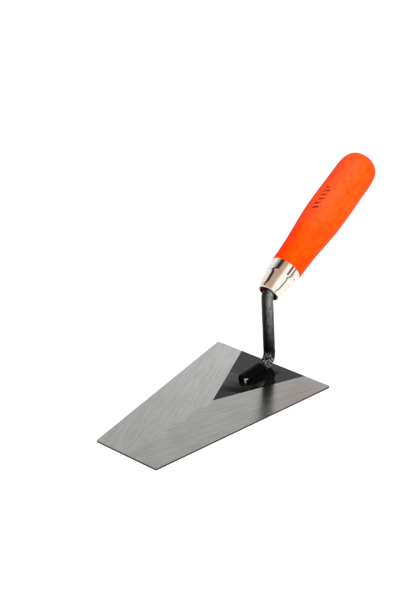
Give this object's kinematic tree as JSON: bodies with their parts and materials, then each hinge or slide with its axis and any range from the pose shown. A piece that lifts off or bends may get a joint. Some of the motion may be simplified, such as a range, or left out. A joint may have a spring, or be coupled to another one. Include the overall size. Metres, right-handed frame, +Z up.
{
  "type": "plastering trowel",
  "caption": "Trapezoidal plasterer's trowel: flat ground steel blade, cranked round neck welded to it, metal ferrule and turned, lacquered wooden handle.",
  "frame": {"origin": "middle of the blade's flat underside, halfway along its 180 mm length and on its centreline", "axes": "+Z up out of the blade's upper face, +Y from the blade's nose towards the handle, +X to the right of someone who looks along +Y"},
  "size_m": [0.1164, 0.3047, 0.1538],
  "materials": {
    "ground_steel": "satin, ground in two directions that meet in a V on the centreline",
    "black_lacquer": "thin glossy black lacquer over forged steel, rubbed in places",
    "nickel_plate": "bright, warm nickel plate",
    "orange_wood": "satin orange lacquer over turned hardwood"
  },
  "bodies": {
    "root": {"blade": "ground_steel", "neck": "black_lacquer", "weld_left": "black_lacquer", "weld_right": "black_lacquer", "ferrule": "nickel_plate", "handle": "orange_wood"}
  },
  "joints": []
}
